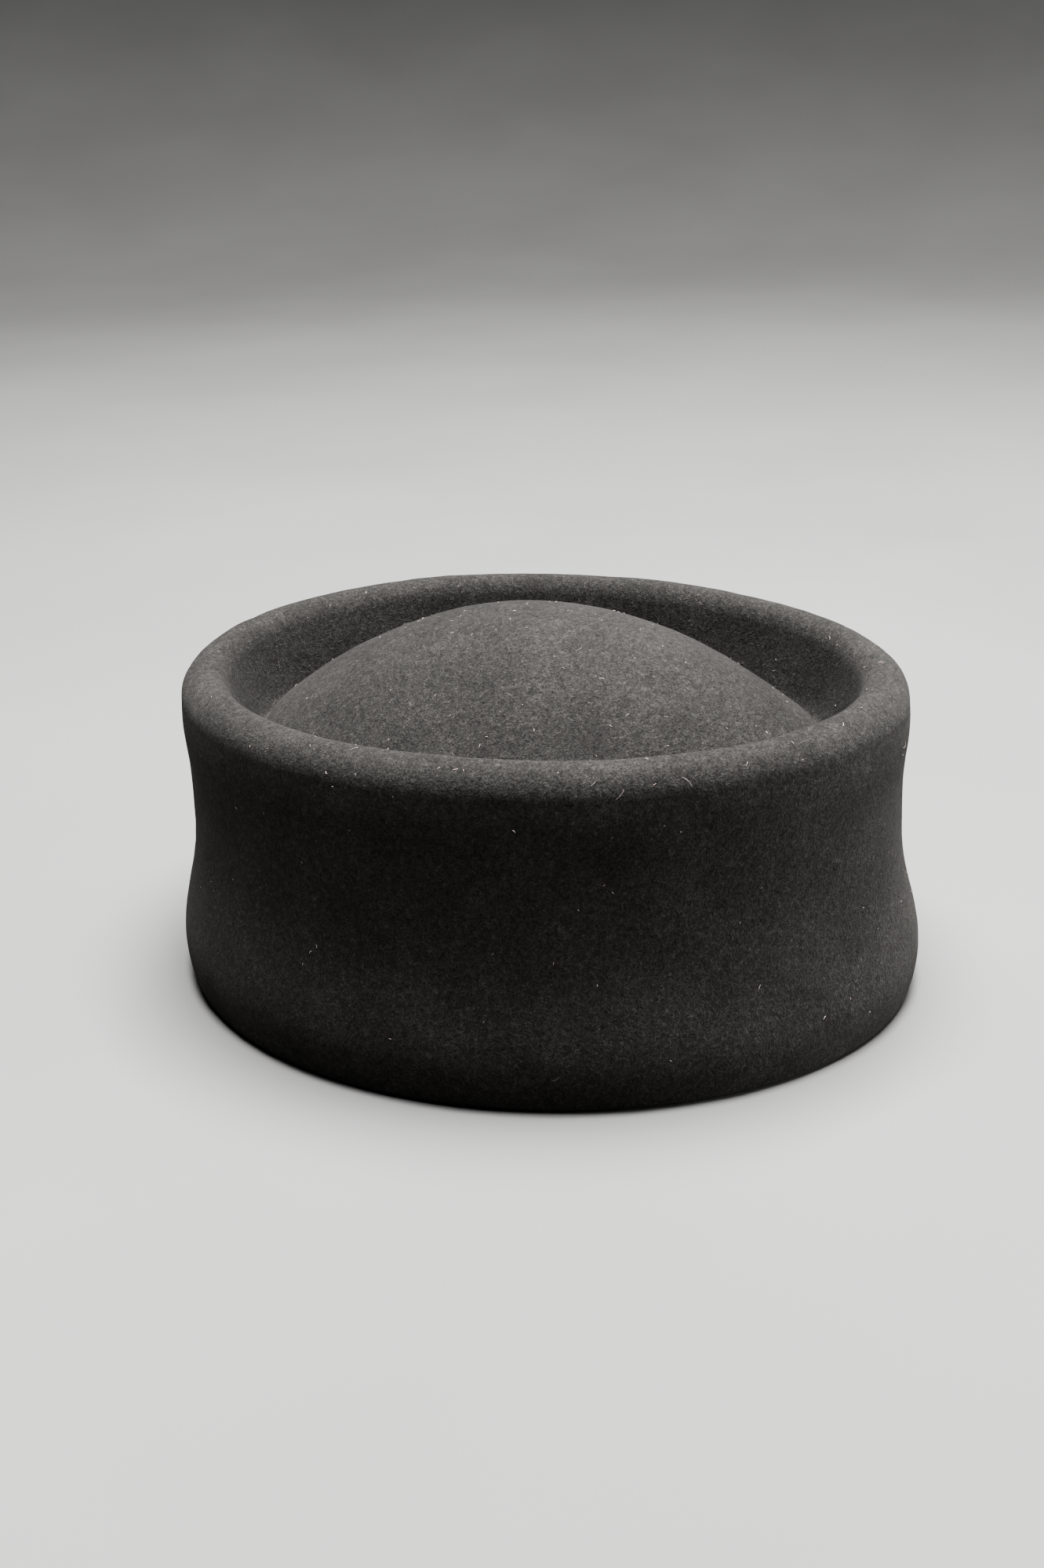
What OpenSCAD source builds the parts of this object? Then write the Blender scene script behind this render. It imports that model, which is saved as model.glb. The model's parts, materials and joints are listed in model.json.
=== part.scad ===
// Blocked wool-felt hat with no brim: a waisted wall, a rolled rim, a sunken moat and a
// domed centre, with its turned hem, headline wire, sweatband, satin lining and labels.
// Units are millimetres. +Z is up, the front of the hat faces -Y, and the origin is the
// middle of the plane that the hat rests on.

/* [Plan] */
// Half length of the felt wall at its waist, front to back
half_l = 98; // [90:1:108]
// Half width of the felt wall at its waist, side to side
half_w = 82.5; // [76:0.5:92]
// Share by which the plan is wider at the back than at the middle
egg = 0.037; // [0:0.005:0.08]

/* [Felt] */
// Thickness of the blocked felt
felt_t = 2.5; // [1.8:0.1:3]
// Height of the rolled rim's crest
rim_h = 87; // [80:1:95]
// Outer radius of the rolled rim
roll_r = 7.6; // [6:0.2:9]
// Swell of the wall just above the base
bulge = 6.2; // [3:0.1:8]
// Flare of the wall just under the rim
flare = 0.9; // [0:0.1:3]
// Height of the dome's peak
peak_h = 100; // [92:1:106]
// How far the dome's peak sits behind the middle
dome_shift = 0.4; // [0:0.2:4]
// Height of the turned-in hem
hem_h = 12; // [10:0.5:14]

/* [Trim] */
// Width of the grosgrain sweatband
band_h = 25; // [20:1:28]
// Diameter of the headline wire
wire_d = 1.2; // [0.8:0.1:1.4]
// Height of the lining's tip seam
seam_z = 57; // [54:0.5:58]
// Rise of the lining's tip above its seam
tip_rise = 24; // [10:1:28]

/* [Hidden] */

felt_black = [0.09, 0.09, 0.09];
ribbon_black = [0.06, 0.06, 0.07];
satin_black = [0.12, 0.12, 0.13];
thread_black = [0.16, 0.16, 0.17];
label_grey = [0.75, 0.75, 0.73];
steel_grey = [0.6, 0.6, 0.62];

seg = 72;                 // facets round the oval
back = 90;                // plan angle of the centre back
clear = 0.3;              // gap between neighbouring layers

waist_d = -0.7;           // wall offset at its narrowest
bulge_z = 11;             // height of the swell's widest point
bulge_w = 19;             // spread of the swell
flare_z = rim_h - 13;     // height of the flare's widest point
flare_w = 9;              // spread of the flare
roll_z = rim_h - roll_r;  // height of the roll's centre
roll_in = 5.6;            // half width of the roll on its side towards the moat
moat_lean = 14;           // how far the moat's wall leans back from upright, in degrees

dome_h = 37;              // fall of the dome from its peak to its nominal edge
dome_n = 2;               // power of the dome's fall: 2 is a paraboloid
dome_l = 83;              // nominal half length of the dome
dome_w = 60;              // nominal half width of the dome
flank_l = 73;             // where the dome's flank hands over to the moat, lengthways
flank_w = 56;             // and sideways
flank_pull = 10;          // how far the flank runs on into the moat's bend
wall_pull = 27;           // how far the moat's wall runs on into the bend

dome_rings = 8;
bend_rings = 9;
inner_rings = 4;
outer_rings = 4;
wall_rings = 8;

hem_r = felt_t;           // radius of the fold under the hem
rest_w = 1;               // width of the flat that the hem stands on

wire_r = wire_d / 2;
wire_z = hem_h + wire_r + 0.5;
joiner_r = 1.1;           // sleeve crimped over the wire's two ends
wire_loop_r = 1.3;        // loops of thread round the wire
wire_thread_r = 0.2;

band_t = 0.6;             // sweatband
band_z = 2.5;             // height of its lower edge
band_lean = 1.1;          // how far its free edge leans in

bow_h = 10;               // width of the bow's ribbon
bow_z = band_z + band_h / 2 - bow_h / 2;
knot_t = 3;
knot_w = 3.4;
loop_t = 0.4;

satin_t = 0.3;            // lining
lining_z = wire_z + 2.3;  // height of the lining's lower edge
piping_r = 0.8;

label_t = 0.3;
label_w = 46;             // maker's label
label_l = 26;
tab_from = 66;            // size label, between two plan angles
tab_to = 75;
tab_z = band_z + 6;
tab_h = 13;
care_w = 22;              // care label
care_l = 26;
care_t = 0.5;
care_r = 0.4;             // fold along its top edge

// ---- plan and section curves ----

// A point of the plan at angle q, for half length a and half width b
function plan(q, a, b) = [b * cos(q) * (1 + egg * sin(q)), a * sin(q)];

// A point at offset d from the waist's plan and height z
function on_wall(q, d, z) = let (p = plan(q, half_l + d, half_w + d)) [p[0], p[1], z];

// Offset of the felt's outer face from the waist's plan at height z
function wall_d(z) = waist_d
    + bulge * exp(-pow((z - bulge_z) / bulge_w, 2))
    + flare * exp(-pow((z - flare_z) / flare_w, 2));

// Height of the dome at a share s of its nominal edge
function dome_z(s) = peak_h - dome_h * pow(s, dome_n);

function bezier(p, t) = p[0] * pow(1 - t, 3) + 3 * p[1] * t * pow(1 - t, 2)
    + 3 * p[2] * t * t * (1 - t) + p[3] * pow(t, 3);

// The fold under the hem at turn g. side is 1 on its outer quarter and -1 on its inner one.
function fold_point(r, g, side) =
    let (mid = r + wall_d(hem_r) - hem_r)
    [mid + side * (rest_w / 2 + (hem_r - rest_w / 2) * cos(g)), hem_r * (1 - sin(g))];

// Turn from the roll's crest at which its inner side has leaned over to the moat's wall
function roll_end() = atan2(roll_in, roll_r * tan(moat_lean));

// One section of the felt's outer face, from near the peak out to the hem, as [radius, z].
// r is the waist's half size, e the dome's nominal edge and f the end of the dome's flank.
function felt_section(r, e, f) =
    let (
        slope = -dome_h * dome_n / e * pow(f / e, dome_n - 1),
        run = [1, slope] / norm([1, slope]),
        foot = [f, dome_z(f / e)],
        roll_c = r + wall_d(roll_z) - roll_r,
        last = roll_end(),
        top = [roll_c - roll_in * sin(last), roll_z + roll_r * cos(last)],
        lean = [sin(moat_lean), cos(moat_lean)],
        bend = [foot, foot + run * flank_pull, top - lean * wall_pull, top]
    )
    concat(
        [for (k = [1:dome_rings]) let (x = f * k / (dome_rings + 1)) [x, dome_z(x / e)]],
        [for (k = [0:bend_rings - 1]) bezier(bend, k / (bend_rings - 1))],
        [for (k = [1:inner_rings]) let (g = last * (1 - k / inner_rings))
            [roll_c - roll_in * sin(g), roll_z + roll_r * cos(g)]],
        [for (k = [1:outer_rings]) let (g = 90 * k / outer_rings)
            [roll_c + roll_r * sin(g), roll_z + roll_r * cos(g)]],
        [for (k = [1:wall_rings]) let (z = hem_r + (roll_z - hem_r) * pow(1 - k / (wall_rings + 1), 1.5))
            [r + wall_d(z), z]],
        [for (g = [0:22.5:90]) fold_point(r, g, 1)]
    );

// A section moved by t to its inner side
function inset(s, t) = [for (k = [0:len(s) - 1])
    let (
        a = s[max(k - 1, 0)],
        b = s[min(k + 1, len(s) - 1)],
        n = [b[1] - a[1], a[0] - b[0]] / norm(b - a)
    ) s[k] + n * t];

function reversed(s) = [for (k = [len(s) - 1:-1:0]) s[k]];

// The felt's two skins in one section: out from the peak, under the hem and back inside
function felt_loop(r, e, f) =
    let (
        outer = felt_section(r, e, f),
        skins = dome_rings + bend_rings + inner_rings + outer_rings + wall_rings,
        inner = inset([for (k = [0:skins - 1]) outer[k]], felt_t),
        above_hem = [for (p = inner) if (p[0] < r - 12 || p[1] > hem_h + 2) p]
    )
    concat(
        outer,
        [for (g = [90:-22.5:0]) fold_point(r, g, -1)],
        [[r + wall_d(hem_h) - 2 * felt_t, hem_h], [r + wall_d(hem_h) - felt_t, hem_h]],
        reversed(above_hem)
    );

// How far a ring of the dome or the moat sits behind the middle, given its half length
function shift_of(x) =
    let (edge = half_l - roll_r - roll_in + waist_d)
    dome_shift * max(0, min(1, (edge - x) / (edge - flank_l)));

// ---- solids from rings ----

// Joins rings of equal length into a closed solid. Each end closes on a middle point.
module capped_rings(rings, first, last) {
    n = len(rings[0]);
    m = len(rings);
    points = concat([for (r = rings) each r], [first, last]);
    skin = [for (k = [0:m - 2]) for (i = [0:n - 1])
        let (j = (i + 1) % n, a = k * n, b = (k + 1) * n)
        each [[a + i, a + j, b + i], [a + j, b + j, b + i]]];
    ends = [for (i = [0:n - 1]) let (j = (i + 1) % n)
        each [[m * n, j, i], [m * n + 1, (m - 1) * n + i, (m - 1) * n + j]]];
    polyhedron(points = points, faces = concat(skin, ends), convexity = 6);
}

// Sweeps a closed section of [offset, z] points round the oval, between two plan angles
module oval_sweep(section, from = 0, to = 360, steps = seg) {
    n = len(section);
    whole = to - from >= 360;
    m = whole ? steps : steps + 1;
    points = [for (k = [0:m - 1]) for (p = section)
        on_wall(from + (to - from) * k / steps, p[0], p[1])];
    skin = [for (k = [0:steps - 1]) for (i = [0:n - 1])
        let (j = (i + 1) % n, a = k * n, b = ((k + 1) % m) * n)
        each [[a + i, b + i, a + j], [a + j, b + i, b + j]]];
    ends = whole ? [] : [[for (i = [0:n - 1]) i], [for (i = [n - 1:-1:0]) (m - 1) * n + i]];
    polyhedron(points = points, faces = concat(skin, ends), convexity = 6);
}

function round_section(d, z, r, sides = 8) =
    [for (k = [0:sides - 1]) [d + r * cos(360 * k / sides), z - r * sin(360 * k / sides)]];

// A thin strip whose outer face runs through [offset, z] points
function strip_section(face, t) = concat([for (p = face) [p[0] - t, p[1]]], reversed(face));

// Puts a child on the wall at plan angle q: its X runs along the wall and -Y to the wearer
module at_wall(q, d, z) {
    a = on_wall(q - 0.5, d, z);
    b = on_wall(q + 0.5, d, z);
    translate(on_wall(q, d, z)) rotate([0, 0, atan2(a[1] - b[1], a[0] - b[0])]) children();
}

// A straight run of thread from a to b
module thread(a, b, r) {
    v = b - a;
    translate(a) rotate([0, acos(v[2] / norm(v)), atan2(v[1], v[0])])
        cylinder(h = norm(v), r = r, $fn = 16);
}

// ---- inner layers ----

wire_in = wall_d(wire_z) - felt_t - joiner_r - clear;

// Outer face of the sweatband: upright by the hem, then leaning in towards its free edge
hem_in = wall_d(hem_r) - 2 * hem_r;
function band_d(z) = hem_in - clear
    - band_lean * pow(max(z - hem_h, 0) / (band_z + band_h - hem_h), 1.5);
band_face = [for (k = [0:4]) let (z = band_z + band_h * k / 4) [band_d(z), z]];

// Outer face of the side lining, just inside the felt
function lining_d(z) = wall_d(z) - felt_t - clear - 0.15;
lining_face = [for (k = [0:8]) let (z = lining_z + (seam_z - lining_z) * k / 8) [lining_d(z), z]];

// The tip is level by its seam and rises into the dome's hollow. s runs from 0 to 1.
function tip_z(s) = seam_z + 2 * clear + tip_rise * pow(1 - s * s, 4);
tip_d = lining_d(seam_z) - satin_t;
tip_l = half_l + tip_d;
tip_w = half_w + tip_d;
function tip_z_at(x, y) = tip_z(min(1, norm([x / tip_w, y / tip_l])));
piping_d = tip_d - clear - piping_r;
piping_z = seam_z - 0.4;

// ---- sub-parts ----

module felt_crown() {
    long = felt_loop(half_l, dome_l, flank_l);
    wide = felt_loop(half_w, dome_w, flank_w);
    rings = [for (k = [0:len(long) - 1]) [for (i = [0:seg - 1])
        let (q = 360 * i / seg, p = plan(q, long[k][0], wide[k][0]))
        [p[0], p[1] + shift_of(long[k][0]), long[k][1] * pow(sin(q), 2) + wide[k][1] * pow(cos(q), 2)]]];
    color(felt_black)
        capped_rings(rings, [0, dome_shift, peak_h], [0, dome_shift, peak_h - felt_t]);
}

module headline_wire() {
    half_gap = 0.4;
    color(steel_grey)
        oval_sweep(round_section(wire_in, wire_z, wire_r), back + half_gap, back + 360 - half_gap);
}

// Sleeve over the two ends of the wire, at the centre back
module wire_joiner() {
    length = 8;
    color(steel_grey) at_wall(back, wire_in, wire_z) rotate([0, 90, 0]) difference() {
        cylinder(h = length, r = joiner_r, center = true, $fn = 32);
        cylinder(h = length + 1, r = wire_r + 0.2, center = true, $fn = 32);
    }
}

// Loops of thread that hold the wire to the felt and bite into it
module wire_stitches() {
    count = 36;
    color(thread_black) for (k = [0:count - 1])
        at_wall(back + 360 * (k + 0.5) / count, wire_in + 0.45, wire_z) rotate([0, 90, 0])
            rotate_extrude($fn = 24)
                translate([wire_loop_r, 0]) circle(r = wire_thread_r, $fn = 16);
}

module sweatband() {
    color(ribbon_black) oval_sweep(strip_section(band_face, band_t));
}

// Whip stitches over the sweatband's lower edge and into the hem, all leaning one way
module sweatband_stitches() {
    count = 90;
    color(thread_black) for (k = [0:count - 1])
        at_wall(360 * (k + 0.5) / count, hem_in - clear - band_t, band_z)
            thread([0.8, -0.1, 1.8], [-0.8, band_t + clear + 0.9, -0.7], 0.22);
}

bow_y = half_l + band_d(bow_z + bow_h + 1) - band_t - clear;

// Outline of one flattened loop of ribbon, open at x = 0
module loop_outline(length, r) {
    difference() {
        union() {
            translate([0, -r]) square([length, 2 * r]);
            translate([length, 0]) circle(r = r, $fn = 32);
        }
        translate([-1, loop_t - r]) square([length + 1, 2 * (r - loop_t)]);
        translate([length, 0]) circle(r = r - loop_t, $fn = 32);
    }
}

// Two flat loops of narrow ribbon, one to each side of the centre back
module bow_loops() {
    loop_l = 12;
    loop_r = 1.1;
    start = knot_w / 2 + 0.1;
    color(ribbon_black) translate([0, bow_y - knot_t / 2, bow_z]) for (side = [0, 1])
        mirror([side, 0, 0]) translate([start, 0, 0]) rotate([0, 0, -4])
            linear_extrude(height = bow_h) loop_outline(loop_l, loop_r);
}

// The turn of ribbon that gathers the loops
module bow_knot() {
    round_r = 0.6;
    color(ribbon_black) translate([0, bow_y - knot_t / 2, bow_z - 0.5])
        linear_extrude(height = bow_h + 1) union() {
            square([knot_w - 2 * round_r, knot_t], center = true);
            square([knot_w, knot_t - 2 * round_r], center = true);
            for (x = [-1, 1])
                for (y = [-1, 1])
                    translate([x * (knot_w / 2 - round_r), y * (knot_t / 2 - round_r)])
                        circle(r = round_r, $fn = 24);
        }
}

// Two stitches that fasten the knot through the sweatband
module bow_tack() {
    reach = clear + band_t + 0.8;
    color(thread_black) for (z = [bow_z + 1.5, bow_z + bow_h - 1.5])
        thread([0, bow_y - 0.8, z], [0, bow_y + reach, z], 0.22);
}

module lining_side() {
    color(satin_black) oval_sweep(strip_section(lining_face, satin_t));
}

module lining_tip() {
    shares = [for (k = [1:9]) k / 9];
    upper = [for (s = shares) [for (i = [0:seg - 1])
        let (p = plan(360 * i / seg, tip_l * s, tip_w * s)) [p[0], p[1], tip_z(s) + satin_t]]];
    lower = [for (s = reversed(shares)) [for (i = [0:seg - 1])
        let (p = plan(360 * i / seg, tip_l * s, tip_w * s)) [p[0], p[1], tip_z(s)]]];
    color(satin_black)
        capped_rings(concat(upper, lower), [0, 0, tip_z(0) + satin_t], [0, 0, tip_z(0)]);
}

// Small stitches that tack the lining's lower edge to the felt, behind the sweatband
module lining_tacks() {
    count = 24;
    z = lining_z + 1.2;
    color(thread_black) for (k = [0:count - 1])
        at_wall(360 * (k + 0.5) / count, lining_d(z), z)
            thread([0, -satin_t - 0.3, 0], [0, clear + 0.9, 0], 0.2);
}

// Satin-covered cord in the seam between the side lining and the tip
module tip_piping() {
    color(satin_black) oval_sweep(round_section(piping_d, piping_z, piping_r));
}

// Threads that run through the side lining, the piping and the edge of the tip
module seam_stitches() {
    count = 72;
    low = [0, satin_t + 0.15, -1.8];
    high = [0, -1.7, 1.2];
    color(thread_black) for (k = [0:count - 1])
        at_wall(360 * (k + 0.5) / count, tip_d, seam_z) thread(low, high, 0.15);
}

// A blank woven label that follows the tip's underside
module maker_label() {
    nx = 12;
    ny = 8;
    row = nx + 1;
    layer = row * (ny + 1);
    points = [for (drop = [clear, clear + label_t]) for (j = [0:ny]) for (i = [0:nx])
        let (x = label_w * (i / nx - 0.5), y = label_l * (j / ny - 0.5))
        [x, y, tip_z_at(x, y) - drop]];
    grid = [for (j = [0:ny - 1]) for (i = [0:nx - 1]) let (a = j * row + i)
        each [[a, a + row, a + 1], [a + 1, a + row, a + row + 1]]];
    lower = [for (f = grid) [f[0] + layer, f[2] + layer, f[1] + layer]];
    rim = concat([for (i = [0:nx]) i],
                 [for (j = [1:ny]) j * row + nx],
                 [for (i = [nx - 1:-1:0]) ny * row + i],
                 [for (j = [ny - 1:-1:1]) j * row]);
    sides = [for (k = [0:len(rim) - 1]) let (a = rim[k], b = rim[(k + 1) % len(rim)])
        each [[a, b, a + layer], [b, b + layer, a + layer]]];
    color(label_grey)
        polyhedron(points = points, faces = concat(grid, lower, sides), convexity = 4);
}

// A woven tab on the sweatband, to one side of the bow
module size_label() {
    face = [for (k = [0:3]) let (z = tab_z + tab_h * k / 3) [band_d(z) - band_t - clear / 2, z]];
    color(label_grey) oval_sweep(strip_section(face, label_t), tab_from, tab_to, 6);
}

// Stitches along the two short ends of the maker's label and the two ends of the size label
module label_stitches() {
    per_end = 6;
    from_end = 1.5;
    span = label_l - 4;
    r = 0.18;
    reach = 0.9;
    color(thread_black) {
        for (side = [-1, 1])
            for (k = [0:per_end - 1])
                let (
                    x = side * (label_w / 2 - from_end),
                    y = span * (k / (per_end - 1) - 0.5),
                    z = tip_z_at(x, y)
                )
                thread([x - reach, y, z - clear - label_t - 0.1], [x + reach, y, z + satin_t], r);
        for (q = [tab_from + 0.7, tab_to - 0.7])
            for (k = [0:3])
                let (z = tab_z + 1.5 + (tab_h - 3) * k / 3)
                at_wall(q, band_d(z) - band_t, z)
                    thread([0, -clear / 2 - label_t - 0.1, -reach], [0, band_t, reach], r);
    }
}

// A folded label that hangs from the tip seam at the back and swings about its top edge
module care_label() {
    color(label_grey) translate([0, half_l + piping_d - piping_r, piping_z - piping_r - clear - care_r])
        union() {
            translate([-care_w / 2, -care_t / 2, -care_l]) cube([care_w, care_t, care_l]);
            rotate([0, 90, 0]) cylinder(h = care_w, r = care_r, center = true, $fn = 24);
        }
}

felt_crown();
headline_wire();
wire_joiner();
wire_stitches();
sweatband();
sweatband_stitches();
bow_loops();
bow_knot();
bow_tack();
lining_side();
lining_tip();
lining_tacks();
tip_piping();
seam_stitches();
maker_label();
size_label();
label_stitches();
care_label();
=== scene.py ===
"""Looks for a blocked black wool-felt hat with no brim.

The pieces are the felt, sweatband, bow, lining, labels and stitches. Lengths in the shape functions are
millimetres, as in the CAD model, and the meshes are in metres. +Z is up, the front of the hat faces -Y and the
origin is the middle of the plane that the hat rests on.
"""

import json
import math

import bpy
import numpy as np
from mathutils import Matrix, Vector

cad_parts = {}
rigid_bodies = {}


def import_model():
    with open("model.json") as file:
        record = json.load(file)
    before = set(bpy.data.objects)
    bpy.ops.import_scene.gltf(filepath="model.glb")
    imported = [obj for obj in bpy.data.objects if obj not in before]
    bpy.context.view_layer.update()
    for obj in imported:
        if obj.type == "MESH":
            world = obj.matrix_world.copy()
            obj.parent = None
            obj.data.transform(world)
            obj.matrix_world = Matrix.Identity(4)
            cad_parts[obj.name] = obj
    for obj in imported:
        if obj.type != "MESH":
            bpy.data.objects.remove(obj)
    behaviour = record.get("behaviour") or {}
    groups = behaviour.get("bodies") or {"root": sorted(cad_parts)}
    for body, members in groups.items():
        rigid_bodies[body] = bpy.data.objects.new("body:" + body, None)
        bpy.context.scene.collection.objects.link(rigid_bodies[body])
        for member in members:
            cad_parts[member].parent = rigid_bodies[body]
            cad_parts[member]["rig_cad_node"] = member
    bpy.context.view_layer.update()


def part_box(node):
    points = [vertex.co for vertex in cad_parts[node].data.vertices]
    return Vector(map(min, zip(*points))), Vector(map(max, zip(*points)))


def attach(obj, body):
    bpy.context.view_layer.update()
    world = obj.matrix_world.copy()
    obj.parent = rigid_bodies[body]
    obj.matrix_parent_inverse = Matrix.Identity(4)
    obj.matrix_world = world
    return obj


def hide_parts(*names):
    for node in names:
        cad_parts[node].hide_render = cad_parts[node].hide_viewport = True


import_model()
MM = 0.001
TAU = 2 * math.pi
HAT, TAG = "hat", "care_tag"

# ---- the hat's own dimensions, as in the CAD model ----

HALF_L, HALF_W, EGG = 98.0, 82.5, 0.037  # the plan at the waist
WAIST_D = -0.7
BULGE, BULGE_Z, BULGE_SPREAD = 6.2, 11.0, 19.0
FLARE, FLARE_DROP, FLARE_SPREAD = 0.9, 13.0, 9.0
FELT_T = 2.5
RIM_H, ROLL_R, ROLL_IN = 87.0, 7.6, 5.6
ROLL_Z = RIM_H - ROLL_R
PEAK_H, DOME_H, DOME_N, DOME_SHIFT = 100.0, 37.0, 2.0, 0.4
DOME, FLANK = (83.0, 60.0), (73.0, 56.0)  # lengthways, sideways
FLANK_PULL, WALL_PULL, MOAT_LEAN = 10, 27, math.radians(14)
HEM_H, HEM_R, REST_W = 12.0, 2.5, 1.0
CLEAR = 0.3
BAND_T, BAND_Z, BAND_H, BAND_LEAN = 0.6, 2.5, 25.0, 1.1
BOW_H = 10.0
SATIN_T, LINING_Z, SEAM_Z, TIP_RISE = 0.3, 15.4, 57.0, 24.0
PIPING_R, PIPING_DROP = 0.8, 0.4
LABEL_T = 0.3
BACK = TAU / 4


def plan(q, a, b):
    """The oval at angle q, for half length a and half width b."""
    return b * np.cos(q) * (1 + EGG * np.sin(q)), a * np.sin(q)


def on_wall(q, d, z):
    """Points at offset d from the waist's plan and height z, in millimetres."""
    x, y = plan(q, HALF_L + d, HALF_W + d)
    return np.stack(np.broadcast_arrays(x, y, z), -1)


def wall_d(z):
    """Offset of the felt's outer face from the waist's plan."""
    return (
        WAIST_D
        + BULGE * np.exp(-(((z - BULGE_Z) / BULGE_SPREAD) ** 2))
        + FLARE * np.exp(-(((z - RIM_H + FLARE_DROP) / FLARE_SPREAD) ** 2))
    )


def dome_z(s):
    return PEAK_H - DOME_H * s**DOME_N


def smooth(x, a, b):
    """0 below a, 1 above b, and an even step between them."""
    t = np.clip((x - a) / (b - a), 0, 1)
    return t * t * (3 - 2 * t)


def waves(p, size, seed, count=24):
    """Smooth noise at points p, with features of about the given size. Its root mean square is about 0.7."""
    rng = np.random.default_rng(seed)
    out = np.zeros(p.shape[:-1])
    for _ in range(count):
        d = rng.normal(size=3)
        d *= TAU / (size * rng.uniform(0.7, 1.6) * np.linalg.norm(d))
        out += np.sin(p @ d + rng.uniform(0, TAU))
    return out / math.sqrt(count)


# ---- meshes ----


def unit(v):
    """Vectors scaled to length 1."""
    return v / (np.linalg.norm(v, axis=-1, keepdims=True) + 1e-12)


def right_of(path):
    """Unit vectors to the right of a flat path."""
    ahead = np.gradient(path, axis=0)
    return unit(np.stack([ahead[:, 1], -ahead[:, 0]], -1))


def grid_faces(rows, cols, wrap_rows, wrap_cols):
    """The quads of a grid of points, which may close on itself either way."""
    i, j = np.meshgrid(
        np.arange(rows if wrap_rows else rows - 1),
        np.arange(cols if wrap_cols else cols - 1),
        indexing="ij",
    )
    k, m = (i + 1) % rows, (j + 1) % cols
    return np.stack([i * cols + j, k * cols + j, k * cols + m, i * cols + m], -1).reshape(-1, 4)


def make_piece(name, points, faces, material, body, replaces=()):
    """A piece from points in millimetres and a list of face arrays, turned to face outwards."""
    volume = 0.0
    for f in faces:
        a = points[f[:, 0]]
        for k in range(1, f.shape[1] - 1):
            volume += float((a * np.cross(points[f[:, k]], points[f[:, k + 1]])).sum())
    if volume < 0:
        faces = [f[:, ::-1] for f in faces]
    mesh = bpy.data.meshes.new(name)
    mesh.from_pydata((points * MM).tolist(), [], [f for part in faces for f in part.tolist()])
    mesh.update()
    mesh.shade_smooth()
    o = bpy.data.objects.new(name, mesh)
    bpy.context.scene.collection.objects.link(o)
    o.data.materials.append(material)
    if replaces:
        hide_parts(*replaces)
    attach(o, body)
    return o


def ring_solid(name, grid, material, body, replaces=()):
    """A solid from a closed section (columns) swept round a closed path (rows)."""
    faces = [grid_faces(*grid.shape[:2], True, True)]
    return make_piece(name, grid.reshape(-1, 3), faces, material, body, replaces)


def capped_solid(name, grid, first, last, material, body, replaces=()):
    """A solid from closed rings (rows) that ends in a point at each end."""
    rows, cols = grid.shape[:2]
    points = np.concatenate([grid.reshape(-1, 3), [first, last]])
    j = np.arange(cols)
    k = (j + 1) % cols
    n = rows * cols
    top = np.stack([np.full(cols, n), j, k], -1)
    bottom = np.stack([np.full(cols, n + 1), n - cols + k, n - cols + j], -1)
    faces = [grid_faces(rows, cols, False, True), top, bottom]
    return make_piece(name, points, faces, material, body, replaces)


def tubes(paths, radius, sides, taper=1.0):
    """Points and faces of round tubes along paths of shape (count, steps, 3). radius is per tube."""
    count, steps = paths.shape[:2]
    ahead = unit(np.gradient(paths, axis=1))
    aside = unit(np.cross(ahead, np.array([0.31, 0.22, 0.93])))
    up = np.cross(ahead, aside)
    turn = TAU * np.arange(sides) / sides
    size = (np.asarray(radius).reshape(-1, 1) * np.linspace(1, taper, steps))[:, :, None, None]
    ring = aside[:, :, None] * np.cos(turn)[:, None] + up[:, :, None] * np.sin(turn)[:, None]
    points = paths[:, :, None] + size * ring
    one = grid_faces(steps, sides, False, True)
    start = (np.arange(count) * steps * sides)[:, None, None]
    walls = (one[None] + start).reshape(-1, 4)[:, ::-1]
    end = np.arange(sides)
    caps = np.concatenate([start[:, 0] + end[::-1], start[:, 0] + (steps - 1) * sides + end])
    return points.reshape(-1, 3), [walls, caps]


# ---- materials ----


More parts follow.
